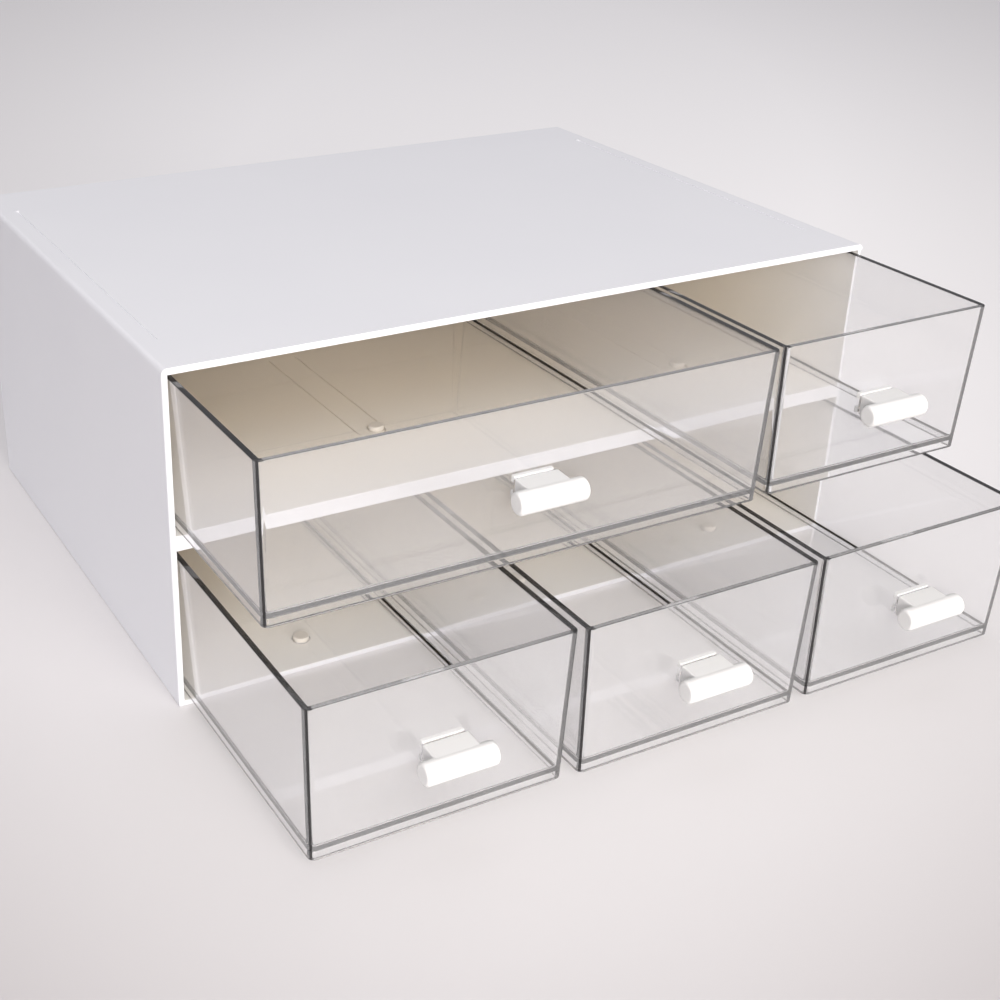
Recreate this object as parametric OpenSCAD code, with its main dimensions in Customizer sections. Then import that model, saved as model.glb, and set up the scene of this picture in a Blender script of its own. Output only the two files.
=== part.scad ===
// Two-tier desk organizer: a white panel case with five clear pull-out drawers.
// Frame: X runs to the right, Y to the back, Z up. The origin is on the case's
// underside, halfway across and halfway back. The drawers are drawn pulled out.

/* [Case] */
// Width of the case
case_w = 260; // [220:1:330]
// Depth of the case, without the handles
case_d = 188.5; // [150:0.5:240]
// Height of the case
case_h = 113; // [90:0.5:140]
// Thickness of the side panels
side_t = 1.7; // [1.6:0.1:3]
// Thickness of the top panel
top_t = 2; // [1.8:0.1:3]
// Thickness of the bottom panel
bottom_t = 2; // [1.8:0.1:3]
// Thickness of the back panel
back_t = 1.7; // [1.4:0.1:3]
// Radius along the long upper edges of the top panel
top_edge_r = 1.2; // [0.5:0.1:1.7]

/* [Middle shelf] */
// Thickness of the shelf's deck
deck_t = 1.8; // [1.4:0.1:3]
// Height of the shelf's folded front, back and side lips, deck included
shelf_lip_h = 5.1; // [4.5:0.1:6.5]
// Thickness of the lips
lip_t = 1.7; // [1.2:0.1:2.5]
// Width of the springy tongue that carries an upper stop stud
spring_w = 10; // [8:0.5:14]
// Length of the springy tongue
spring_l = 72; // [40:1:90]
// Width of the slit round the springy tongue
slit_w = 0.5; // [0.4:0.1:1]

/* [Drawers] */
// Number of narrow columns across the case
columns = 3; // [3]
// Gap between neighbouring drawers at their upper rims
drawer_gap = 2; // [1:0.1:4]
// Gap between an outer drawer's rim and the side panel
side_gap = 0.3; // [0.2:0.1:1]
// Gap between an upper drawer's rim and the top panel
top_gap = 1.2; // [0.4:0.1:2]
// Gap between a lower drawer's rim and the shelf's lip, which lets it lift over its stop stud
lift_gap = 2.7; // [1.7:0.1:5]
// Gap under a drawer's skirt
glide_gap = 0.1; // [0.05:0.05:0.3]
// Gap behind a closed drawer
rear_gap = 1.3; // [0.8:0.1:4]
// Wall thickness of the clear drawers
wall = 1.8; // [1.4:0.1:2.5]
// Thickness of a drawer's floor
floor_t = 1.2; // [1:0.1:2.5]
// Height of the skirt under a drawer's floor
skirt_h = 2.4; // [1.8:0.1:4]
// How far each drawer side leans in from rim to foot
side_lean = 1.6; // [0.5:0.1:3]
// How far a drawer's front and back lean in from rim to foot
front_lean = 1.1; // [0.3:0.1:3]
// Radius of the drawers' outer upright corners
corner_r = 2.2; // [2:0.1:5]
// Fillet between a drawer's floor and its walls
floor_fillet = 1.2; // [0.8:0.1:3]

/* [Drawer positions] */
// How far the wide drawer is pulled out
wide_out = 59.5; // [0:0.1:90]
// How far the upper right drawer is pulled out
upper_right_out = 58.5; // [0:0.1:90]
// How far the lower left drawer is pulled out
lower_left_out = 86.6; // [0:0.1:110]
// How far the lower middle drawer is pulled out
lower_middle_out = 87.6; // [0:0.1:110]
// How far the lower right drawer is pulled out
lower_right_out = 87.1; // [0:0.1:110]

/* [Handles] */
// Length of the handle's round bar
bar_l = 22.7; // [18:0.1:40]
// Diameter of the handle's round bar
bar_d = 7; // [5:0.1:10]
// Distance from the drawer's front face to the bar's axis
bar_reach = 7.7; // [5.5:0.1:12]
// Width of the slot in the drawer's front
slot_w = 13.5; // [8:0.1:18]
// Height of the slot in the drawer's front
slot_h = 6; // [4.5:0.1:7]
// Height of the slot's centre above the drawer's foot
slot_z = 24.5; // [18:0.1:32]
// Clearance between the handle's legs and the slot
leg_gap = 0.15; // [0.05:0.05:0.3]

/* [Drawer stops] */
// Diameter of a stop stud's head
stud_d = 5.4; // [4:0.1:8]
// Height of a stop stud's head
stud_h = 1.5; // [1:0.1:1.6]
// Diameter of a stop stud's peg
peg_d = 2.5; // [2:0.1:4]
// Radial clearance of the peg in its hole
peg_gap = 0.05; // [0.02:0.01:0.15]
// Distance of the upper studs behind the case's front
upper_stud_y = 40; // [15:1:60]
// Distance of the lower studs behind the case's front
lower_stud_y = 15; // [10:1:60]
// Sideways place of an upper stud from the middle of its drawer, which keeps it on its springy tongue
upper_stud_shift = 2.2; // [0:0.1:2.3]
// Sideways place of a lower stud from the middle of its drawer
lower_stud_shift = 4.7; // [0:0.1:10]

/* [Hidden] */
$fn = 48;

shell_white = "#f1f0f2";
clear_plastic = [0.84, 0.84, 0.88, 0.35];
handle_white = "#fbfaf8";
stud_white = "#e9e8ea";

// Inner faces of the case
front_y = -case_d / 2;
inner_w = case_w - 2 * side_t;
inner_back_y = case_d / 2 - back_t;
top_under_z = case_h - top_t;

// Drawers: three narrow columns fill the width; the wide one takes two of them
narrow_w = (inner_w - 2 * side_gap - (columns - 1) * drawer_gap) / columns;
pitch = narrow_w + drawer_gap;
wide_w = 2 * narrow_w + drawer_gap;
drawer_d = inner_back_y - front_y - rear_gap;
drawer_h = (top_under_z - bottom_t - 2 * glide_gap - lift_gap - shelf_lip_h - top_gap) / 2;
shelf_z = bottom_t + glide_gap + drawer_h + lift_gap + shelf_lip_h;
wide_x = -pitch / 2;
upper_foot_z = shelf_z + glide_gap;
lower_foot_z = bottom_t + glide_gap;
floor_z = skirt_h + floor_t;

// Handle slot: it follows the lean of the drawer's front
lean_angle = atan(front_lean / drawer_h);
slot_y = front_lean * (1 - slot_z / drawer_h);

// Tongues along the panels' edges and the blind slots that take them
tongue_t = 0.8;
tongue_l = 16;
tongue_h = 1.1;
tongue_gap = 0.05;
tongue_x = inner_w / 2 + 0.25 + tongue_t / 2;
tongue_ys = [-0.34 * case_d, 0, 0.34 * case_d];
back_tongue_zs = [0.26 * case_h, 0.74 * case_h];
shelf_tongue_h = 1.2;
shelf_tongue_reach = 0.9;
shelf_tongue_z = shelf_z - deck_t - 1.5;

// Shallow guide line near each side of the top, with a round pip at its back end
mark_depth = 0.25;
line_inset = 7;
line_w = 1.6;
line_front = 22;
line_back = 24;
pip_d = 2.6;
pip_h = 0.35;

// Snap hooks on the handle's two legs
leg_t = 1.5;
hook_out = 0.5;
hook_l = 1.5;
shoulder = 0.4;
bar_edge_r = 1.1;

eps = 0.01;

// Rectangle with rounded corners, centred on the origin
module rounded_rect(w, d, r) {
    hull()
        for (x = [-1, 1], y = [-1, 1])
            translate([x * (w / 2 - r), y * (d / 2 - r)]) circle(r);
}

// Thin rounded slab of a drawer's outline at height z, drawn in by the given amount
module outline_slab(w, z, inward, r) {
    lean = 1 - z / drawer_h;
    translate([0, 0, z])
        linear_extrude(eps)
            rounded_rect(w - 2 * (inward + side_lean * lean),
                         drawer_d - 2 * (inward + front_lean * lean), r);
}

// Solid block inside a drawer's leaning outer faces
module drawer_block(w) {
    hull() {
        outline_slab(w, 0, 0, corner_r);
        outline_slab(w, drawer_h - eps, 0, corner_r);
    }
}

// Room inside a drawer, with a fillet round its floor
module drawer_room(w) {
    inner_r = max(corner_r - wall, 0.4);
    hull() {
        for (a = [0:30:90])
            outline_slab(w, floor_z + floor_fillet * (1 - cos(a)), wall + floor_fillet * (1 - sin(a)),
                         inner_r + floor_fillet * (1 - sin(a)));
        outline_slab(w, drawer_h + eps, wall, inner_r);
    }
}

// One clear drawer: foot centre on the origin, front towards -Y
module drawer(w) {
    color(clear_plastic)
        difference() {
            drawer_block(w);
            drawer_room(w);
            translate([0, 0, -eps])
                linear_extrude(skirt_h + eps)
                    rounded_rect(w - 2 * (wall + side_lean), drawer_d - 2 * (wall + front_lean), corner_r);
            translate([0, slot_y - drawer_d / 2, slot_z])
                rotate([lean_angle, 0, 0])
                    cube([slot_w, 6 * wall, slot_h], center = true);
        }
}

// Round handle bar with softened rims
module handle_bar() {
    r = bar_d / 2;
    translate([0, -bar_reach, 0])
        rotate([0, 90, 0])
            rotate_extrude()
                union() {
                    translate([0, -bar_l / 2]) square([r - bar_edge_r, bar_l]);
                    translate([0, bar_edge_r - bar_l / 2]) square([r, bar_l - 2 * bar_edge_r]);
                    for (s = [-1, 1])
                        translate([r - bar_edge_r, s * (bar_l / 2 - bar_edge_r)]) circle(bar_edge_r);
                }
}

// Neck from the drawer's front to the bar, a little larger all round than the slot that it stops against
module handle_neck() {
    neck_w = slot_w + 2 * shoulder;
    translate([-neck_w / 2, -bar_reach, -slot_h / 2 - shoulder])
        cube([neck_w, bar_reach, slot_h + 2 * shoulder]);
}

// Upper or lower snap leg: it passes through the slot and hooks behind the wall
module snap_leg() {
    leg_w = slot_w - 2 * leg_gap;
    outer = slot_h / 2 - leg_gap;
    reach = wall + 0.1 + hook_l;
    translate([-leg_w / 2, -eps, outer - leg_t]) cube([leg_w, reach + eps, leg_t]);
    rotate([90, 0, 90])
        linear_extrude(leg_w, center = true)
            polygon([
                [wall + 0.1, outer - leg_t / 2], [wall + 0.1, outer + hook_out],
                [wall + 0.5, outer + hook_out], [reach, outer - leg_t / 2]
            ]);
}

// One handle, with its own origin at the slot's centre on the drawer's front face
module handle() {
    color(handle_white)
        union() {
            handle_bar();
            handle_neck();
            snap_leg();
            mirror([0, 0, 1]) snap_leg();
        }
}

// Puts a handle into the front of the drawer whose foot centre is at [x, y, z]
module place_handle(x, out, foot_z) {
    place_drawer(x, out, foot_z)
        translate([0, slot_y - drawer_d / 2, slot_z])
            rotate([lean_angle, 0, 0])
                handle();
}

// Moves a drawer from its own frame to its column, tier and opening
module place_drawer(x, out, foot_z) {
    translate([x, front_y + drawer_d / 2 - out, foot_z]) children();
}

// Stop stud: domed head on the deck, peg through the deck's full thickness
module stop_stud(x, y, deck_z, peg_l) {
    rim_h = 0.6 * stud_h;
    dome_h = stud_h - rim_h;
    dome_r = (pow(stud_d / 2, 2) + pow(dome_h, 2)) / (2 * dome_h);
    color(stud_white)
        translate([x, front_y + y, deck_z])
            union() {
                cylinder(h = rim_h, d = stud_d);
                translate([0, 0, rim_h])
                    intersection() {
                        cylinder(h = dome_h, d = stud_d);
                        translate([0, 0, dome_h - dome_r]) sphere(dome_r);
                    }
                translate([0, 0, -peg_l]) cylinder(h = peg_l + eps, d = peg_d);
            }
}

// Hole for a stop stud's peg
module peg_hole(x, y, deck_z, deck_thickness) {
    translate([x, front_y + y, deck_z - deck_thickness - eps])
        cylinder(h = deck_thickness + 2 * eps, d = peg_d + 2 * peg_gap);
}

// Tongues on the upper or lower edge of both side panels, or their blind slots when grown
module edge_tongues(side, z, grow) {
    for (y = tongue_ys)
        translate([side * tongue_x, y, z])
            cube([tongue_t + 2 * grow, tongue_l + 2 * grow, 2 * (tongue_h + grow)], center = true);
}

// Tongues between the shelf's side lip and a side panel
module shelf_tongues(side, grow) {
    for (y = tongue_ys)
        translate([side * inner_w / 2, y, shelf_tongue_z])
            cube([2 * (shelf_tongue_reach + grow), tongue_l + 2 * grow, shelf_tongue_h + 2 * grow],
                 center = true);
}

// Tongues between the back panel and a side panel
module back_tongues(side, grow) {
    for (z = back_tongue_zs)
        translate([side * inner_w / 2, inner_back_y + back_t / 2, z])
            cube([2 * (shelf_tongue_reach + grow), tongue_t + 2 * grow, tongue_l + 2 * grow], center = true);
}

// Shallow guide lines near both side edges of the top
module top_lines() {
    line_l = case_d - line_front - line_back;
    for (side = [-1, 1])
        translate([side * (case_w / 2 - line_inset) - line_w / 2, front_y + line_front, case_h - mark_depth])
            cube([line_w, line_l, mark_depth + eps]);
}

// Small round pips at the back ends of the guide lines
module top_pips() {
    for (side = [-1, 1])
        translate([side * (case_w / 2 - line_inset), case_d / 2 - line_back, case_h - mark_depth - eps])
            cylinder(h = mark_depth + pip_h, d = pip_d);
}

module top_panel() {
    color(shell_white)
        difference() {
            union() {
                difference() {
                    rotate([90, 0, 0])
                        linear_extrude(case_d, center = true)
                            intersection() {
                                translate([-case_w / 2, top_under_z]) square([case_w, top_t]);
                                hull() {
                                    translate([-case_w / 2, top_under_z - top_t]) square([case_w, top_t]);
                                    for (side = [-1, 1])
                                        translate([side * (case_w / 2 - top_edge_r), case_h - top_edge_r])
                                            circle(top_edge_r);
                                }
                            }
                    top_lines();
                }
                top_pips();
            }
            for (side = [-1, 1]) edge_tongues(side, top_under_z, tongue_gap);
        }
}

module bottom_panel() {
    color(shell_white)
        difference() {
            translate([-case_w / 2, front_y, 0]) cube([case_w, case_d, bottom_t]);
            for (side = [-1, 1]) edge_tongues(side, bottom_t, tongue_gap);
            for (column = [-1, 0, 1])
                peg_hole(column * pitch + lower_stud_shift, lower_stud_y, bottom_t, bottom_t);
        }
}

// Side panel between the bottom and top panels; side is -1 for left and 1 for right
module side_panel(side) {
    color(shell_white)
        difference() {
            union() {
                translate([side * (case_w - side_t) / 2, 0, (bottom_t + top_under_z) / 2])
                    cube([side_t, case_d, top_under_z - bottom_t], center = true);
                edge_tongues(side, top_under_z, 0);
                edge_tongues(side, bottom_t, 0);
            }
            shelf_tongues(side, tongue_gap);
            back_tongues(side, tongue_gap);
        }
}

module back_panel() {
    color(shell_white)
        union() {
            translate([-inner_w / 2, inner_back_y, bottom_t])
                cube([inner_w, back_t, top_under_z - bottom_t]);
            back_tongues(-1, 0);
            back_tongues(1, 0);
        }
}

// Slit round three sides of a springy tongue: its free end faces the front, just ahead of the stud
module spring_slit(x) {
    tip_y = front_y + upper_stud_y - spring_w / 2;
    translate([x, tip_y + spring_w / 2, shelf_z - deck_t - eps])
        linear_extrude(deck_t + 2 * eps)
            difference() {
                union() {
                    circle(spring_w / 2 + slit_w);
                    translate([-spring_w / 2 - slit_w, 0]) square([spring_w + 2 * slit_w, spring_l]);
                }
                circle(spring_w / 2);
                translate([-spring_w / 2, 0]) square([spring_w, spring_l + eps]);
            }
}

// Shelf deck with folded lips all round and a springy tongue under each upper drawer
module middle_shelf() {
    shelf_d = inner_back_y - front_y;
    foot_z = shelf_z - shelf_lip_h;
    color(shell_white)
        difference() {
            union() {
                difference() {
                    translate([-inner_w / 2, front_y, foot_z]) cube([inner_w, shelf_d, shelf_lip_h]);
                    translate([lip_t - inner_w / 2, front_y + lip_t, foot_z - eps])
                        cube([inner_w - 2 * lip_t, shelf_d - 2 * lip_t, shelf_lip_h - deck_t + eps]);
                }
                shelf_tongues(-1, 0);
                shelf_tongues(1, 0);
            }
            for (x = [wide_x, pitch]) {
                spring_slit(x);
                peg_hole(x + upper_stud_shift, upper_stud_y, shelf_z, deck_t);
            }
        }
}

top_panel();
bottom_panel();
side_panel(-1);  // left_side_panel
side_panel(1);  // right_side_panel
back_panel();
middle_shelf();
place_drawer(wide_x, wide_out, upper_foot_z) drawer(wide_w);  // wide_drawer
place_drawer(pitch, upper_right_out, upper_foot_z) drawer(narrow_w);  // upper_right_drawer
place_drawer(-pitch, lower_left_out, lower_foot_z) drawer(narrow_w);  // lower_left_drawer
place_drawer(0, lower_middle_out, lower_foot_z) drawer(narrow_w);  // lower_middle_drawer
place_drawer(pitch, lower_right_out, lower_foot_z) drawer(narrow_w);  // lower_right_drawer
place_handle(wide_x, wide_out, upper_foot_z);  // wide_drawer_handle
place_handle(pitch, upper_right_out, upper_foot_z);  // upper_right_handle
place_handle(-pitch, lower_left_out, lower_foot_z);  // lower_left_handle
place_handle(0, lower_middle_out, lower_foot_z);  // lower_middle_handle
place_handle(pitch, lower_right_out, lower_foot_z);  // lower_right_handle
stop_stud(wide_x + upper_stud_shift, upper_stud_y, shelf_z, deck_t);  // wide_drawer_stop
stop_stud(pitch + upper_stud_shift, upper_stud_y, shelf_z, deck_t);  // upper_right_stop
stop_stud(lower_stud_shift - pitch, lower_stud_y, bottom_t, bottom_t);  // lower_left_stop
stop_stud(lower_stud_shift, lower_stud_y, bottom_t, bottom_t);  // lower_middle_stop
stop_stud(pitch + lower_stud_shift, lower_stud_y, bottom_t, bottom_t);  // lower_right_stop
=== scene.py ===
import bpy
import math
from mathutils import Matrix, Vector


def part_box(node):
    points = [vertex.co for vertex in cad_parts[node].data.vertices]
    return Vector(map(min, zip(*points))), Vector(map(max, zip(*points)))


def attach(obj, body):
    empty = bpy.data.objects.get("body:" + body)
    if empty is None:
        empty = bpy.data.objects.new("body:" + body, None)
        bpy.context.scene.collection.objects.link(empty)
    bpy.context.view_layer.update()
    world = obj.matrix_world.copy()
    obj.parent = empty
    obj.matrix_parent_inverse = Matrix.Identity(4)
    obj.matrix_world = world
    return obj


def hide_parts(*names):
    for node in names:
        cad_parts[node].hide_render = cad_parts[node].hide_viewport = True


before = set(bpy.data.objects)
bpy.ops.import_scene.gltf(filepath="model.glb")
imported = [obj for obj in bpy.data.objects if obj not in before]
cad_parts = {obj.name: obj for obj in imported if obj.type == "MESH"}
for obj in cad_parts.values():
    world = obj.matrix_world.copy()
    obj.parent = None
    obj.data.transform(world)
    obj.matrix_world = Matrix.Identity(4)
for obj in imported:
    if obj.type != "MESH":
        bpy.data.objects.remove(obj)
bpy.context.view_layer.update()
print("frame loaded:", len(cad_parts), "nodes")

mm = 0.001
slack = 0.1 * mm    # two places closer than this count as one
faceOn = 0.9        # a face counts as looking along an axis when its normal's share of it passes this


def deselectAll():
    if bpy.context.object and bpy.context.object.mode == "EDIT":
        bpy.ops.object.mode_set(mode="OBJECT")
    bpy.ops.object.select_all(action="DESELECT")


def makeActive(obj):
    deselectAll()
    obj.select_set(True)
    bpy.context.view_layer.objects.active = obj


def addBlock(name, low, high):
    # a cube stretched between two corners, with its place in its mesh
    deselectAll()
    low, high = Vector(low), Vector(high)
    bpy.ops.mesh.primitive_cube_add(size=1, location=(low + high) / 2)
    obj = bpy.context.object
    obj.name = name
    obj.scale = high - low
    bpy.ops.object.transform_apply(location=True, rotation=True, scale=True)
    return obj


def startPicking(obj, kind):
    makeActive(obj)
    bpy.ops.object.mode_set(mode="EDIT")
    bpy.ops.mesh.select_mode(type=kind)
    bpy.ops.mesh.select_all(action="DESELECT")
    bpy.ops.object.mode_set(mode="OBJECT")


def pickFaces(obj, test):
    # selects the faces whose centre and normal pass the test, and leaves the object in edit mode
    startPicking(obj, "FACE")
    for face in obj.data.polygons:
        face.select = test(face.center, face.normal)
    bpy.ops.object.mode_set(mode="EDIT")


def pickEdges(obj, test):
    # selects the edges whose two ends pass the test, and leaves the object in edit mode
    startPicking(obj, "EDGE")
    points = obj.data.vertices
    for edge in obj.data.edges:
        edge.select = test(points[edge.vertices[0]].co, points[edge.vertices[1]].co)
    bpy.ops.object.mode_set(mode="EDIT")


def leaveEdit():
    bpy.ops.object.mode_set(mode="OBJECT")


def bevelPicked(width, segments):
    bpy.ops.mesh.bevel(offset=width, segments=segments, profile=0.5, affect="EDGES", clamp_overlap=True)
    leaveEdit()


def bothAt(first, second, value):
    return abs(first - value) < slack and abs(second - value) < slack


def combine(obj, tool, operation):
    # the tool is used up
    makeActive(obj)
    boolean = obj.modifiers.new("combine", "BOOLEAN")
    boolean.operation = operation
    boolean.solver = "EXACT"
    boolean.object = tool
    bpy.ops.object.modifier_apply(modifier=boolean.name)
    bpy.data.objects.remove(tool, do_unlink=True)


def cutAway(obj, tool):
    combine(obj, tool, "DIFFERENCE")


def fuse(obj, tool):
    combine(obj, tool, "UNION")


def softenEdges(obj, width, segments, angle=35):
    # the small radius that every moulded edge has
    makeActive(obj)
    soften = obj.modifiers.new("soften", "BEVEL")
    soften.width = width
    soften.segments = segments
    soften.limit_method = "ANGLE"
    soften.angle_limit = math.radians(angle)
    soften.use_clamp_overlap = True
    bpy.ops.object.modifier_apply(modifier=soften.name)


def smoothFaces(obj, angle=30):
    # rounds shade smoothly while the large flat faces keep their own normal
    makeActive(obj)
    bpy.ops.object.shade_smooth_by_angle(angle=math.radians(angle))
    even = obj.modifiers.new("even", "WEIGHTED_NORMAL")
    even.mode = "FACE_AREA"
    even.weight = 100
    even.keep_sharp = True
    bpy.ops.object.modifier_apply(modifier=even.name)


def pieceName(node):
    # lower_left_stop becomes lowerLeftStop
    first, *others = node.split("_")
    return first + "".join(word.title() for word in others)


def dress(obj, material):
    obj.data.materials.clear()
    obj.data.materials.append(material)


def paintInsideShade(obj, test):
    # gives the faces that look into the case the material with the painted warm shade
    obj.data.materials.append(insideShadeMaterial)
    for face in obj.data.polygons:
        if test(face.center, face.normal):
            face.material_index = 1


def standFor(obj, node, body, material):
    dress(obj, material)
    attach(obj, body)
    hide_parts(node)


def toLinear(hexColour):
    # sRGB hex to the linear values that the shaders use
    channels = [int(hexColour[i:i + 2], 16) / 255 for i in (1, 3, 5)]
    return tuple(c / 12.92 if c <= 0.04045 else ((c + 0.055) / 1.055) ** 2.4 for c in channels) + (1.0,)


def addNode(tree, kind, settings=None, links=None):
    # settings go to the node's own fields or its sockets; links join sockets of other nodes to this one's
    node = tree.nodes.new(kind)
    for key, value in (settings or {}).items():
        if isinstance(key, str) and hasattr(node, key):
            setattr(node, key, value)
        else:
            node.inputs[key].default_value = value
    for key, source in (links or {}).items():
        tree.links.new(source, node.inputs[key])
    return node


def startMaterial(name):
    material = bpy.data.materials.new(name)
    material.use_nodes = True
    material.node_tree.nodes.clear()
    tree = material.node_tree
    place = addNode(tree, "ShaderNodeTexCoord").outputs["Object"]
    return material, tree, place


def colourSockets(sockets):
    return [socket for socket in sockets if socket.type == "RGBA"]


def addGrainySkin(tree, place, values):
    # an opaque plastic skin whose shine and surface follow the mould's fine grain
    grain = addNode(tree, "ShaderNodeTexNoise",
                    {"Scale": 1 / values["grainSize"], "Detail": values["grainDetail"]},
                    {"Vector": place})
    gloss = addNode(tree, "ShaderNodeMapRange",
                    {"To Min": values["roughness"] - values["glossSpread"],
                     "To Max": values["roughness"] + values["glossSpread"]},
                    {"Value": grain.outputs["Fac"]})
    bump = addNode(tree, "ShaderNodeBump",
                   {"Strength": values["grainStrength"], "Distance": values["grainDepth"]},
                   {"Height": grain.outputs["Fac"]})
    skin = addNode(tree, "ShaderNodeBsdfPrincipled", {"IOR": values["ior"]},
                   {"Roughness": gloss.outputs["Result"], "Normal": bump.outputs["Normal"]})
    addNode(tree, "ShaderNodeOutputMaterial", None, {"Surface": skin.outputs["BSDF"]})
    return skin


# White polystyrene moulded in a lightly sparked tool: satin, with a fine grain that breaks up the shine.
# The real grain is about 0.2 mm; it is drawn coarser so that it shows.
shellPlastic = {
    "name": "satinWhitePolystyrene",
    "colour": "#e0e0e4",
    "shade": "#dcdce1",
    "roughness": 0.42,
    "glossSpread": 0.05,
    "ior": 1.55,
    "grainSize": 0.7 * mm,
    "grainDetail": 2.0,
    "grainDepth": 0.012 * mm,
    "grainStrength": 0.35,
    "flowSize": 60 * mm,
    "flowDetail": 3.0,
}

# The faces that look into the case carry painted shade: a warmer colour stands in for the dim, warm light
# inside, and the finish is a little duller.
# Painted light from the opening: the part nearest it is lighter and less warm.
insideShadePlastic = dict(shellPlastic)
insideShadePlastic.update({
    "name": "insidePaintedShadePolystyrene",
    # the warm colour is painted shade
    "colour": "#f4ebdc",
    "shade": "#f1e7d6",
    # the lighter colour nearest the opening is painted light
    "openingLightColour": "#f3f1ee",
    "openingLightDepth": 70 * mm,
    "roughness": 0.5,
    "grainSize": 0.8 * mm,
    "flowSize": 45 * mm,
})


def makeShellPlastic(values):
    material, tree, place = startMaterial(values["name"])
    flow = addNode(tree, "ShaderNodeTexNoise",
                   {"Scale": 1 / values["flowSize"], "Detail": values["flowDetail"]},
                   {"Vector": place})
    tone = addNode(tree, "ShaderNodeMix", {"data_type": "RGBA"}, {"Factor": flow.outputs["Fac"]})
    shadeSocket, colourSocket = colourSockets(tone.inputs)
    shadeSocket.default_value = toLinear(values["shade"])
    colourSocket.default_value = toLinear(values["colour"])
    colour = colourSockets(tone.outputs)[0]
    # painted light from the opening: near the case's front the colour is lighter, fading into the painted
    # warm shade further in
    if "openingLightColour" in values:
        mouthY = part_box("left_side_panel")[0].y
        axes = addNode(tree, "ShaderNodeSeparateXYZ", None, {"Vector": place})
        inward = addNode(tree, "ShaderNodeMapRange",
                         {"From Min": mouthY, "From Max": mouthY + values["openingLightDepth"]},
                         {"Value": axes.outputs["Y"]})
        openingLightMix = addNode(tree, "ShaderNodeMix", {"data_type": "RGBA"}, {"Factor": inward.outputs["Result"]})
        openingLightSocket, deepShadeSocket = colourSockets(openingLightMix.inputs)
        openingLightSocket.default_value = toLinear(values["openingLightColour"])
        tree.links.new(colour, deepShadeSocket)
        colour = colourSockets(openingLightMix.outputs)[0]
    skin = addGrainySkin(tree, place, values)
    tree.links.new(colour, skin.inputs["Base Color"])
    return material


# Crystal polystyrene from a polished tool: glassy, very slightly milky, a little wavy from the melt's flow,
# and grey along the edges, where light runs a long way inside the wall.
clearPlastic = {
    "name": "clearPolystyrene",
    "colour": "#fcfcfd",
    "ior": 1.57,
    "clearness": 0.94,
    "roughness": 0.025,
    "waveSize": 22 * mm,
    "waveDepth": 0.02 * mm,
    "waveStrength": 0.25,
    "shadowTint": "#fcfcfc",
    "depthTint": "#4a4849",
    "depthDensity": 19.0,
}

# Rims, feet and upright corners carry painted shade: a darker colour stands for the little light that the
# view finds as it runs down inside the wall.
clearEdgeShadePlastic = dict(clearPlastic, name="clearPolystyreneEdgeShade", colour="#7c7879", clearness=0.97)

# The round where the floor meets a wall carries darker painted shade: the view runs along the whole floor and
# finds almost no light.
clearFloorRoundShadePlastic = dict(clearEdgeShadePlastic, name="clearPolystyreneFloorRoundShade", colour="#262324")


def makeClearPlastic(values):
    material, tree, place = startMaterial(values["name"])
    wave = addNode(tree, "ShaderNodeTexNoise", {"Scale": 1 / values["waveSize"], "Detail": 1.0},
                   {"Vector": place})
    bump = addNode(tree, "ShaderNodeBump",
                   {"Strength": values["waveStrength"], "Distance": values["waveDepth"]},
                   {"Height": wave.outputs["Fac"]})
    skin = addNode(tree, "ShaderNodeBsdfPrincipled",
                   {"Base Color": toLinear(values["colour"]), "IOR": values["ior"],
                    "Transmission Weight": values["clearness"], "Roughness": values["roughness"]},
                   {"Normal": bump.outputs["Normal"]})
    # thin walls hardly hold light back, so shadows and bounced light pass straight through
    letThrough = addNode(tree, "ShaderNodeBsdfTransparent", {"Color": toLinear(values["shadowTint"])})
    ray = addNode(tree, "ShaderNodeLightPath")
    either = addNode(tree, "ShaderNodeMath", {"operation": "MAXIMUM"},
                     {0: ray.outputs["Is Shadow Ray"], 1: ray.outputs["Is Diffuse Ray"]})
    mix = addNode(tree, "ShaderNodeMixShader", None,
                  {0: either.outputs["Value"], 1: skin.outputs["BSDF"], 2: letThrough.outputs["BSDF"]})
    depth = addNode(tree, "ShaderNodeVolumeAbsorption",
                    {"Color": toLinear(values["depthTint"]), "Density": values["depthDensity"]})
    addNode(tree, "ShaderNodeOutputMaterial", None,
            {"Surface": mix.outputs["Shader"], "Volume": depth.outputs["Volume"]})
    return material


# Bright white ABS, moulded smooth: a soft gloss with very little grain.
handlePlastic = {
    "name": "brightWhiteAbs",
    "colour": "#e0dfde",
    "roughness": 0.3,
    "glossSpread": 0.04,
    "ior": 1.53,
    "grainSize": 0.9 * mm,
    "grainDetail": 1.0,
    "grainDepth": 0.006 * mm,
    "grainStrength": 0.3,
}

# Natural nylon: off-white and slightly waxy; its colour is also darkened and warmed as painted shade, to sit
# with the painted warm shade inside the case.
studPlastic = {
    "name": "nylonWithPaintedShade",
    "colour": "#ded7cd",
    "roughness": 0.35,
    "glossSpread": 0.06,
    "ior": 1.53,
    "grainSize": 0.8 * mm,
    "grainDetail": 1.0,
    "grainDepth": 0.01 * mm,
    "grainStrength": 0.3,
}


def makePlainPlastic(values):
    material, tree, place = startMaterial(values["name"])
    skin = addGrainySkin(tree, place, values)
    skin.inputs["Base Color"].default_value = toLinear(values["colour"])
    return material


shellMaterial = makeShellPlastic(shellPlastic)
insideShadeMaterial = makeShellPlastic(insideShadePlastic)
clearMaterial = makeClearPlastic(clearPlastic)
clearEdgeShadeMaterial = makeClearPlastic(clearEdgeShadePlastic)
clearFloorRoundShadeMaterial = makeClearPlastic(clearFloorRoundShadePlastic)
handleMaterial = makePlainPlastic(handlePlastic)
studMaterial = makePlainPlastic(studPlastic)
print("materials ready")


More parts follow.
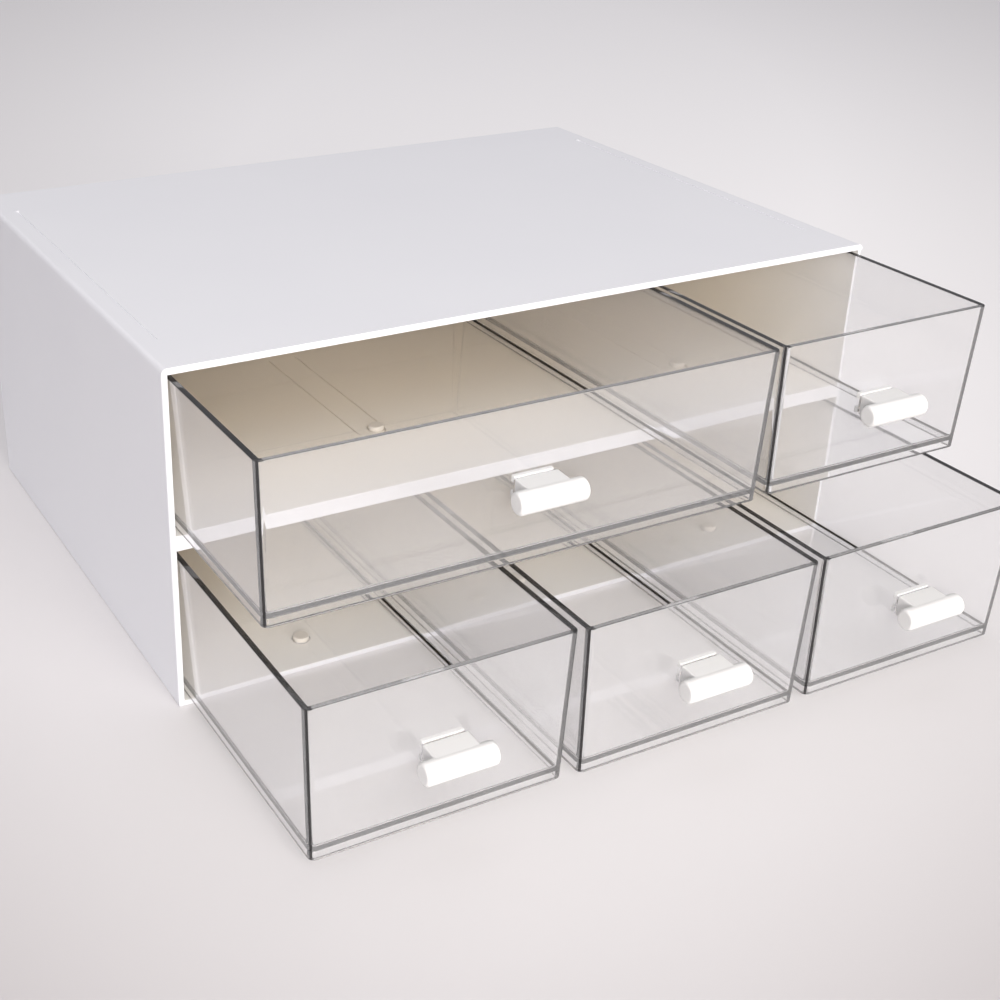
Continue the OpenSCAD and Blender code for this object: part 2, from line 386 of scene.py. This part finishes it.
caseSizes = {
    "wallThickness": 1.7 * mm,
    "topEdgeRound": 1.7 * mm,
    "frontEdgeRound": 0.9 * mm,
    "footRound": 0.5 * mm,
    "fineRound": 0.3 * mm,
    "backRound": 0.25 * mm,
    "shelfRound": 0.35 * mm,
    "lineInset": 7 * mm,
    "lineWidth": 1.6 * mm,
    "lineDepth": 0.25 * mm,
    "lineTaper": (0.35, 0.998, 1),
    "lineFront": 22 * mm,
    "lineBack": 24 * mm,
    "pipRise": 0.34 * mm,
    "pipFoot": 4.4 * mm,
    "pipTop": 1.0 * mm,
    "pipDepth": 0.8 * mm,
    "pipRound": 0.2 * mm,
    "deckThickness": 1.8 * mm,
    "tongueWidth": 10 * mm,
    "tongueLength": 72 * mm,
    "slitWidth": 0.5 * mm,
    "tongueFront": 35 * mm,
    "cutReach": 3 * mm,
    "cutExtra": 2 * mm,
    "seatWidth": 0.5 * mm,
    "seatUnder": 0.4 * mm,
    "seatDepth": 0.7 * mm,
}


def makeTopPanel(sizes):
    low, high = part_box("top_panel")
    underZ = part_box("back_panel")[1].z
    topZ = high.z - sizes["pipRise"]
    panel = addBlock("topPanel", (low.x, low.y, underZ), (high.x, high.y, topZ))
    middle = (underZ + topZ) / 2
    pickEdges(panel, lambda a, b: a.z > middle and b.z > middle and abs(a.x - b.x) < mm)
    bevelPicked(sizes["topEdgeRound"], segments=6)
    pickEdges(panel, lambda a, b: a.z > middle and b.z > middle and a.y < low.y + mm and b.y < low.y + mm)
    bevelPicked(sizes["frontEdgeRound"], segments=4)
    for side in (-1, 1):
        x = side * (high.x - sizes["lineInset"])
        half = sizes["lineWidth"] / 2
        start, end = low.y + sizes["lineFront"], high.y - sizes["lineBack"]
        groove = addBlock("groove", (x - half, start, topZ - sizes["lineDepth"]), (x + half, end, topZ + mm))
        pickFaces(groove, lambda c, n: n.z < -faceOn)
        bpy.ops.transform.resize(value=sizes["lineTaper"])
        leaveEdit()
        cutAway(panel, groove)
        fuse(panel, addPip(sizes, x, end, high.z))
    smoothFaces(panel)
    standFor(panel, "top_panel", "case", shellMaterial)
    paintInsideShade(panel, lambda c, n: n.z < -faceOn)


def addPip(sizes, x, y, topZ):
    # a low cone, so that its side catches only a little more light than the panel
    deselectAll()
    bpy.ops.mesh.primitive_cone_add(vertices=32, radius1=sizes["pipFoot"] / 2, radius2=sizes["pipTop"] / 2,
                                    depth=sizes["pipDepth"], location=(x, y, topZ - sizes["pipDepth"] / 2))
    pip = bpy.context.object
    bpy.ops.object.transform_apply(location=True, rotation=True, scale=True)
    pickEdges(pip, lambda a, b: bothAt(a.z, b.z, topZ))
    bevelPicked(sizes["pipRound"], segments=3)
    return pip


def makeSidePanel(sizes, side):
    node = "right_side_panel" if side > 0 else "left_side_panel"
    low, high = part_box(node)
    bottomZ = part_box("bottom_panel")[1].z
    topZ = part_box("back_panel")[1].z
    panel = addBlock(pieceName(node), (low.x, low.y, bottomZ), (high.x, high.y, topZ))
    outerX = high.x if side > 0 else low.x
    pickEdges(panel, lambda a, b: bothAt(a.x, b.x, outerX) and abs(a.z - b.z) > mm)
    bevelPicked(sizes["frontEdgeRound"], segments=4)
    smoothFaces(panel)
    standFor(panel, node, "case", shellMaterial)
    paintInsideShade(panel, lambda c, n: n.x * side < -faceOn)


def makeBottomPanel(sizes):
    low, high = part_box("bottom_panel")
    panel = addBlock("bottomPanel", low, high)
    pickEdges(panel, lambda a, b: a.z < mm and b.z < mm)
    bevelPicked(sizes["footRound"], segments=3)
    pickEdges(panel, lambda a, b: a.z > mm and b.z > mm and a.y < low.y + mm and b.y < low.y + mm)
    bevelPicked(sizes["fineRound"], segments=2)
    for node in ("lower_left_stop", "lower_middle_stop", "lower_right_stop"):
        cutStudSeat(panel, node, high.z, sizes)
    smoothFaces(panel)
    standFor(panel, "bottom_panel", "case", shellMaterial)
    paintInsideShade(panel, lambda c, n: n.z > faceOn)


def innerHalfWidth(sizes):
    return abs(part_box("left_side_panel")[0].x) - sizes["wallThickness"]


def makeBackPanel(sizes):
    low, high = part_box("back_panel")
    innerX = innerHalfWidth(sizes)
    panel = addBlock("backPanel", (-innerX, low.y, low.z), (innerX, high.y, high.z))
    pickEdges(panel, lambda a, b: bothAt(a.y, b.y, high.y))
    bevelPicked(sizes["backRound"], segments=2)
    smoothFaces(panel)
    standFor(panel, "back_panel", "case", shellMaterial)
    paintInsideShade(panel, lambda c, n: n.y < -faceOn)


def makeShelf(sizes):
    low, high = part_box("middle_shelf")
    innerX = innerHalfWidth(sizes)
    shelf = addBlock("middleShelf", (-innerX, low.y, low.z), (innerX, high.y, high.z))
    pickFaces(shelf, lambda c, n: n.z < -faceOn)
    bpy.ops.mesh.inset(thickness=sizes["wallThickness"], use_even_offset=True)
    rise = high.z - low.z - sizes["deckThickness"]
    bpy.ops.mesh.extrude_region_move(TRANSFORM_OT_translate={"value": (0, 0, rise)})
    leaveEdit()
    softenEdges(shelf, sizes["shelfRound"], segments=3)
    for node in ("wide_drawer", "upper_right_drawer"):
        drawerLow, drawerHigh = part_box(node)
        x = (drawerLow.x + drawerHigh.x) / 2
        cutTongue(shelf, sizes, x, low.y + sizes["tongueFront"], high.z)
    for node in ("wide_drawer_stop", "upper_right_stop"):
        cutStudSeat(shelf, node, high.z, sizes)
    smoothFaces(shelf)
    standFor(shelf, "middle_shelf", "case", shellMaterial)
    paintInsideShade(shelf, lambda c, n: c.y > low.y + 2 * slack)


def cutTongue(shelf, sizes, x, tipY, topZ):
    # the inner bar runs further back and further through, so that the cut leaves the tongue's root whole
    half, slit, length = sizes["tongueWidth"] / 2, sizes["slitWidth"], sizes["tongueLength"]
    reach, extra = sizes["cutReach"], sizes["cutExtra"]
    outer = addRoundTongue(x, tipY - slit, half + slit, length, topZ, reach)
    inner = addRoundTongue(x, tipY, half, length + extra, topZ, reach + extra)
    cutAway(outer, inner)
    cutAway(shelf, outer)


def addRoundTongue(x, tipY, half, length, topZ, reach):
    # a bar with one half-round end; the round stays a hair short so that its two sides don't meet
    block = addBlock("tongue", (x - half, tipY, topZ - reach), (x + half, tipY + half + length, topZ + reach))
    pickEdges(block, lambda a, b: abs(a.z - b.z) > mm and abs(a.y - tipY) < slack)
    bevelPicked(half * 0.999, segments=10)
    return block


def cutStudSeat(panel, stopNode, topZ, sizes):
    # the shallow seat that the stud's head stands in, seen as a thin dark ring
    low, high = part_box(stopNode)
    place = ((low.x + high.x) / 2, (low.y + high.y) / 2, topZ)
    outer = (high.x - low.x) / 2 + sizes["seatWidth"]
    ring = sizes["seatWidth"] + sizes["seatUnder"]
    deselectAll()
    bpy.ops.mesh.primitive_cylinder_add(vertices=48, radius=outer, depth=2 * sizes["seatDepth"],
                                        location=place)
    seat = bpy.context.object
    bpy.ops.object.transform_apply(location=True, rotation=True, scale=True)
    pickFaces(seat, lambda c, n: abs(n.z) > faceOn)
    bpy.ops.mesh.inset(thickness=ring)
    bpy.ops.mesh.delete(type="FACE")
    bpy.ops.mesh.select_all(action="DESELECT")
    leaveEdit()
    pickEdges(seat, lambda a, b: abs(a.z - b.z) < slack / 10 and
              bothAt(math.dist(a.xy, place[:2]), math.dist(b.xy, place[:2]), outer - ring))
    bpy.ops.mesh.bridge_edge_loops()
    bpy.ops.mesh.select_all(action="SELECT")
    bpy.ops.mesh.normals_make_consistent(inside=False)
    leaveEdit()
    cutAway(panel, seat)


makeTopPanel(caseSizes)
makeSidePanel(caseSizes, -1)
makeSidePanel(caseSizes, 1)
makeBottomPanel(caseSizes)
makeBackPanel(caseSizes)
makeShelf(caseSizes)
print("case done")


drawerSizes = {
    "wall": 1.8 * mm,
    "sideLean": 1.6 * mm,
    "frontLean": 1.1 * mm,
    "corner": 2.2 * mm,
    "cornerSteps": 8,
    "skirt": 2.4 * mm,
    "floor": 1.2 * mm,
    "fillet": 1.2 * mm,
    "filletSteps": 5,
    "edgeRound": 0.26 * mm,
    "slotWidth": 13.5 * mm,
    "slotHeight": 6 * mm,
    "slotMiddle": 24.5 * mm,
    "slotReach": 5 * mm,
    "slotRound": 0.5 * mm,
}


def shrinkPicked(width, depth, inX, inY):
    # draws the picked face in by these amounts on each side
    bpy.ops.transform.resize(value=(1 - 2 * inX / width, 1 - 2 * inY / depth, 1))


def slotPlace(low, high, sizes):
    # the middle of the handle's slot, on the leaning front
    lean = sizes["frontLean"] * (1 - sizes["slotMiddle"] / (high.z - low.z))
    return Vector(((low.x + high.x) / 2, low.y + lean, low.z + sizes["slotMiddle"]))


def makeDrawer(node, sizes):
    low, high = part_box(node)
    width, depth = (high - low).xy
    body = addBlock(pieceName(node), low, high)
    pickEdges(body, lambda a, b: abs(a.z - b.z) > mm)
    bevelPicked(sizes["corner"], segments=sizes["cornerSteps"])
    pickFaces(body, lambda c, n: n.z < -faceOn)
    shrinkPicked(width, depth, sizes["sideLean"], sizes["frontLean"])
    leaveEdit()
    hollowRoom(body, low, high, sizes)

    # the hollow under the floor, which leaves a skirt all round
    pickFaces(body, lambda c, n: n.z < -faceOn and abs(c.z - low.z) < slack)
    bpy.ops.mesh.inset(thickness=sizes["wall"], use_even_offset=True)
    bpy.ops.mesh.extrude_region_move(TRANSFORM_OT_translate={"value": (0, 0, sizes["skirt"])})
    leaveEdit()
    softenEdges(body, sizes["edgeRound"], segments=2, angle=40)

    half = Vector((sizes["slotWidth"] / 2, sizes["slotReach"], sizes["slotHeight"] / 2))
    middle = slotPlace(low, high, sizes)
    slot = addBlock("slot", middle - half, middle + half)
    pickEdges(slot, lambda a, b: abs(a.y - b.y) > mm)
    bevelPicked(sizes["slotRound"], segments=3)
    cutAway(body, slot)
    smoothFaces(body, angle=35)
    standFor(body, node, node, clearMaterial)
    darkenEdges(body, low, high, sizes)


def hollowRoom(body, low, high, sizes):
    # the room inside: straight down to the fillet, then round it to the floor
    width, depth, height = high - low
    pickFaces(body, lambda c, n: n.z > faceOn)
    bpy.ops.mesh.inset(thickness=sizes["wall"], use_even_offset=True)
    floorZ = low.z + sizes["skirt"] + sizes["floor"]
    roomWidth, roomDepth = width - 2 * sizes["wall"], depth - 2 * sizes["wall"]
    lastZ, lastX, lastY = high.z, 0.0, 0.0
    for step in range(sizes["filletSteps"] + 1):
        turn = math.radians(90) * (1 - step / sizes["filletSteps"])
        z = floorZ + sizes["fillet"] * (1 - math.cos(turn))
        share = (high.z - z) / height
        inX = sizes["sideLean"] * share + sizes["fillet"] * (1 - math.sin(turn))
        inY = sizes["frontLean"] * share + sizes["fillet"] * (1 - math.sin(turn))
        bpy.ops.mesh.extrude_region_move(TRANSFORM_OT_translate={"value": (0, 0, z - lastZ)})
        shrinkPicked(roomWidth - 2 * lastX, roomDepth - 2 * lastY, inX - lastX, inY - lastY)
        lastZ, lastX, lastY = z, inX, inY
    leaveEdit()


# How far the normals of the darkened faces point up, which tells each round from the flats beside it.
darkTilts = {
    "rim": (0.5, 0.95),
    "sideRim": (0.2, 1.1),
    "foot": (-0.95, -0.2),
    "floorRound": (0.25, 0.97),
    "corner": (-0.2, 0.2),
}

# How nearly a corner's face must look halfway between front and side.
cornerSplit = 0.15


def darkenEdges(body, low, high, sizes):
    # painted shade: the rounds of the rim and foot, the side rims and a narrow strip down each upright corner
    # are dark, and the round at the floor is darker still
    body.data.materials.append(clearEdgeShadeMaterial)
    body.data.materials.append(clearFloorRoundShadeMaterial)
    middle = (low + high) / 2
    floorZ = low.z + sizes["skirt"] + sizes["floor"]
    sideX = (high.x - low.x) / 2 - sizes["wall"] - sizes["corner"] / 2
    for face in body.data.polygons:
        c, n = face.center, face.normal
        tilted = {place: least < n.z < most for place, (least, most) in darkTilts.items()}
        atSide = abs(c.x - middle.x) > sideX
        atRim = c.z > high.z - sizes["edgeRound"]
        onRim = atRim and (tilted["rim"] or (atSide and tilted["sideRim"]))
        onFoot = tilted["foot"] and c.z < low.z + sizes["edgeRound"]
        onFloorRound = tilted["floorRound"] and abs(c.z - floorZ) < sizes["fillet"] / 2
        outwards = (c.x - middle.x) * n.x > 0 and (c.y - middle.y) * n.y > 0
        onCorner = tilted["corner"] and outwards and abs(abs(n.x) - abs(n.y)) < cornerSplit
        if onFloorRound:
            face.material_index = 2
        elif onRim or onFoot or onCorner:
            face.material_index = 1


drawerNodes = ("wide_drawer", "upper_right_drawer", "lower_left_drawer", "lower_middle_drawer",
               "lower_right_drawer")
for node in drawerNodes:
    makeDrawer(node, drawerSizes)
print("drawers done")


handleSizes = {
    "barLength": 22.7 * mm,
    "barDiameter": 7 * mm,
    "barRound": 1.1 * mm,
    "barReach": 7.7 * mm,
    "neckWidth": 14.3 * mm,
    "neckHeight": 6.8 * mm,
    "neckRound": 0.5 * mm,
    "legWidth": 13.2 * mm,
    "legOuter": 2.85 * mm,
    "legHeight": 1.5 * mm,
    "legStart": -1 * mm,
    "legReach": 3.4 * mm,
    "legRound": 0.15 * mm,
    "hook": 0.5 * mm,
    "hookHeight": 1.2 * mm,
    "hookStart": 1.9 * mm,
    "hookRound": 0.2 * mm,
}


def makeHandle(sizes):
    # modelled about the slot's centre on the drawer's outer face, at the origin
    deselectAll()
    bpy.ops.mesh.primitive_cylinder_add(vertices=64, radius=sizes["barDiameter"] / 2,
                                        depth=sizes["barLength"], location=(0, -sizes["barReach"], 0),
                                        rotation=(0, math.radians(90), 0))
    bar = bpy.context.object
    bar.name = "handle"
    bpy.ops.object.transform_apply(location=True, rotation=True, scale=True)
    endX = sizes["barLength"] / 2
    pickEdges(bar, lambda a, b: abs(abs(a.x) - endX) < slack / 10 and abs(a.x - b.x) < slack / 10)
    bevelPicked(sizes["barRound"], segments=6)
    near, tall = sizes["neckWidth"] / 2, sizes["neckHeight"] / 2
    neck = addBlock("neck", (-near, -sizes["barReach"], -tall), (near, 0, tall))
    softenEdges(neck, sizes["neckRound"], segments=3)
    fuse(bar, neck)
    hookTop = sizes["legOuter"] + sizes["hook"]
    for way in (-1, 1):
        leg = addStrip("leg", sizes, way, sizes["legStart"], sizes["legOuter"] - sizes["legHeight"],
                       sizes["legOuter"])
        softenEdges(leg, sizes["legRound"], segments=2)
        fuse(bar, leg)
        hook = addStrip("hook", sizes, way, sizes["hookStart"], hookTop - sizes["hookHeight"], hookTop)
        softenEdges(hook, sizes["hookRound"], segments=2)
        fuse(bar, hook)
    smoothFaces(bar, angle=40)
    return bar


def addStrip(name, sizes, way, startY, nearZ, farZ):
    # a flat strip as wide as the legs, above the slot's middle or, with way at -1, below it
    half = sizes["legWidth"] / 2
    bottomZ, topZ = sorted((way * nearZ, way * farZ))
    return addBlock(name, (-half, startY, bottomZ), (half, sizes["legReach"], topZ))


def placeHandle(pattern, drawer, node):
    low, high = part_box(drawer)
    makeActive(pattern)
    bpy.ops.object.duplicate()
    piece = bpy.context.object
    piece.data = piece.data.copy()
    piece.name = pieceName(node)
    piece.rotation_euler = (math.atan(drawerSizes["frontLean"] / (high.z - low.z)), 0, 0)
    piece.location = slotPlace(low, high, drawerSizes)
    bpy.ops.object.transform_apply(location=True, rotation=True, scale=True)
    standFor(piece, node, drawer, handleMaterial)


handleNodes = ("wide_drawer_handle", "upper_right_handle", "lower_left_handle", "lower_middle_handle",
               "lower_right_handle")
pattern = makeHandle(handleSizes)
for drawer, node in zip(drawerNodes, handleNodes):
    placeHandle(pattern, drawer, node)
bpy.data.objects.remove(pattern, do_unlink=True)
print("handles done")


studSizes = {
    "peg": 2.5 * mm,
    "capRound": 0.45 * mm,
}


def makeStud(node, sizes, deckZ):
    low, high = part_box(node)
    middle = (low + high) / 2
    radius = (high.x - low.x) / 2
    deselectAll()
    bpy.ops.mesh.primitive_cylinder_add(vertices=48, radius=radius, depth=high.z - deckZ,
                                        location=(middle.x, middle.y, (high.z + deckZ) / 2))
    head = bpy.context.object
    head.name = pieceName(node)
    bpy.ops.object.transform_apply(location=True, rotation=True, scale=True)
    pickEdges(head, lambda a, b: bothAt(a.z, b.z, high.z))
    bevelPicked(sizes["capRound"], segments=4)
    pickFaces(head, lambda c, n: n.z < -faceOn)
    bpy.ops.mesh.inset(thickness=radius - sizes["peg"] / 2)
    bpy.ops.mesh.extrude_region_move(TRANSFORM_OT_translate={"value": (0, 0, low.z - deckZ)})
    leaveEdit()
    smoothFaces(head, angle=50)
    standFor(head, node, "case", studMaterial)


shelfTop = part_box("middle_shelf")[1].z
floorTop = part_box("back_panel")[0].z
for node in ("wide_drawer_stop", "upper_right_stop"):
    makeStud(node, studSizes, shelfTop)
for node in ("lower_left_stop", "lower_middle_stop", "lower_right_stop"):
    makeStud(node, studSizes, floorTop)
print("studs done")


studio = {
    # the paper's light colour in the middle and darker colour at the edge are a painted pool of light and its
    # painted falloff
    "floorColour": "#f5f3f4",
    "floorFalloffShade": "#c0bcbd",
    "floorRoughness": 0.85,
    "floorShine": 0.2,
    "floorReach": 4.0,
    "fadeFrom": (-0.264, -0.470, 0),
    "fadeAlong": (0.472, 0.882, 0),
    "fadeAcross": (0.882, -0.472, 0),
    "fadeNear": 0.276,
    "fadeSpread": 1.3,
    "fadeMiddle": (0.1, 0.72, 0),
    "fadeStart": 0.2,
    "fadeEnd": 0.72,
    "worldColour": "#d3d3d8",
    "worldStrength": 0.58,
}


def makeFloor(values):
    deselectAll()
    bpy.ops.mesh.primitive_plane_add(size=2 * values["floorReach"], location=(0, 0, 0))
    floor = bpy.context.object
    floor.name = "studioFloor"
    material, tree, place = startMaterial("palePaper")
    # a painted pool of light on the paper: a fan that starts below the camera and widens as it runs from the
    # front to behind the case, darker towards its edge
    away = addNode(tree, "ShaderNodeVectorMath", {"operation": "SUBTRACT", 1: values["fadeFrom"]}, {0: place})
    along = addNode(tree, "ShaderNodeVectorMath",
                    {"operation": "DOT_PRODUCT", 1: values["fadeAlong"]}, {0: away.outputs["Vector"]})
    across = addNode(tree, "ShaderNodeVectorMath",
                     {"operation": "DOT_PRODUCT", 1: values["fadeAcross"]}, {0: away.outputs["Vector"]})
    sideways = addNode(tree, "ShaderNodeMath", {"operation": "DIVIDE"},
                       {0: across.outputs["Value"], 1: along.outputs["Value"]})
    nearness = addNode(tree, "ShaderNodeMath", {"operation": "DIVIDE", 0: values["fadeNear"]},
                       {1: along.outputs["Value"]})
    lifted = addNode(tree, "ShaderNodeMath", {"operation": "SQRT"}, {0: nearness.outputs["Value"]})
    spread = addNode(tree, "ShaderNodeMath", {"operation": "MULTIPLY", 1: values["fadeSpread"]},
                     {0: lifted.outputs["Value"]})
    fan = addNode(tree, "ShaderNodeCombineXYZ", None,
                  {"X": sideways.outputs["Value"], "Y": spread.outputs["Value"]})
    distance = addNode(tree, "ShaderNodeVectorMath", {"operation": "DISTANCE", 1: values["fadeMiddle"]},
                       {0: fan.outputs["Vector"]})
    fade = addNode(tree, "ShaderNodeValToRGB", None, {"Fac": distance.outputs["Value"]})
    start, end = fade.color_ramp.elements
    start.position = values["fadeStart"]
    start.color = toLinear(values["floorColour"])
    end.position = values["fadeEnd"]
    end.color = toLinear(values["floorFalloffShade"])
    skin = addNode(tree, "ShaderNodeBsdfPrincipled",
                   {"Roughness": values["floorRoughness"], "Specular IOR Level": values["floorShine"]},
                   {"Base Color": fade.outputs["Color"]})
    addNode(tree, "ShaderNodeOutputMaterial", None, {"Surface": skin.outputs["BSDF"]})
    dress(floor, material)


def makeWorld(values):
    world = bpy.data.worlds.new("studioAir")
    world.use_nodes = True
    bpy.context.scene.world = world
    tree = world.node_tree
    tree.nodes.clear()
    air = addNode(tree, "ShaderNodeBackground",
                  {"Color": toLinear(values["worldColour"]), "Strength": values["worldStrength"]})
    addNode(tree, "ShaderNodeOutputWorld", None, {"Surface": air.outputs["Background"]})


softboxes = {
    "frontSoftbox": {"place": (-0.4, -1.9, 0.6), "target": (0, 0, 0.05),
                     "size": (1.8, 0.8), "power": 44, "colour": "#fffaf4"},
    "leftSoftbox": {"place": (-0.95, -0.9, 0.4), "target": (-0.13, -0.08, 0.05),
                    "size": (0.6, 0.5), "power": 2.4, "colour": "#f8f8ff"},
    "highSoftbox": {"place": (-0.1, -1.6, 1.6), "target": (0, 0, 0),
                    "size": (2.0, 1.2), "power": 23, "colour": "#fffcf8"},
    "overheadSoftbox": {"place": (0.3, 1.2, 2.4), "target": (0.3, 0.6, 0),
                        "size": (2.8, 2.4), "power": 15, "colour": "#faf8fa"},
}


def addSoftbox(name, values):
    deselectAll()
    bpy.ops.object.light_add(type="AREA", location=values["place"])
    lamp = bpy.context.object
    lamp.name = name
    lamp.data.shape = "RECTANGLE"
    lamp.data.size, lamp.data.size_y = values["size"]
    lamp.data.energy = values["power"]
    lamp.data.color = toLinear(values["colour"])[:3]
    aim = Vector(values["target"]) - Vector(values["place"])
    lamp.rotation_euler = aim.to_track_quat("-Z", "Y").to_euler()


cameraSettings = {
    "place": (-0.2637, -0.4698, 0.2760),
    "turn": (63.36, -0.775, -28.155),
    "lens": 55.24,
    "sensor": 36,
    "shift": (0.1169, -0.0156),
    "clip": (0.01, 50),
}


def makeCamera(values):
    camera = bpy.data.cameras.new("camera")
    view = bpy.data.objects.new("camera", camera)
    bpy.context.scene.collection.objects.link(view)
    view.location = values["place"]
    view.rotation_euler = [math.radians(angle) for angle in values["turn"]]
    camera.lens = values["lens"]
    camera.sensor_width = values["sensor"]
    camera.shift_x, camera.shift_y = values["shift"]
    camera.clip_start, camera.clip_end = values["clip"]
    bpy.context.scene.camera = view


def setLightPaths(scene):
    # a view through all the drawers crosses many clear walls
    scene.view_settings.view_transform = "Standard"
    scene.cycles.max_bounces = 20
    scene.cycles.transmission_bounces = 20
    scene.cycles.transparent_max_bounces = 24
    scene.cycles.diffuse_bounces = 4
    scene.cycles.glossy_bounces = 6


makeFloor(studio)
makeWorld(studio)
for name, values in softboxes.items():
    addSoftbox(name, values)
makeCamera(cameraSettings)
setLightPaths(bpy.context.scene)
print("studio done")
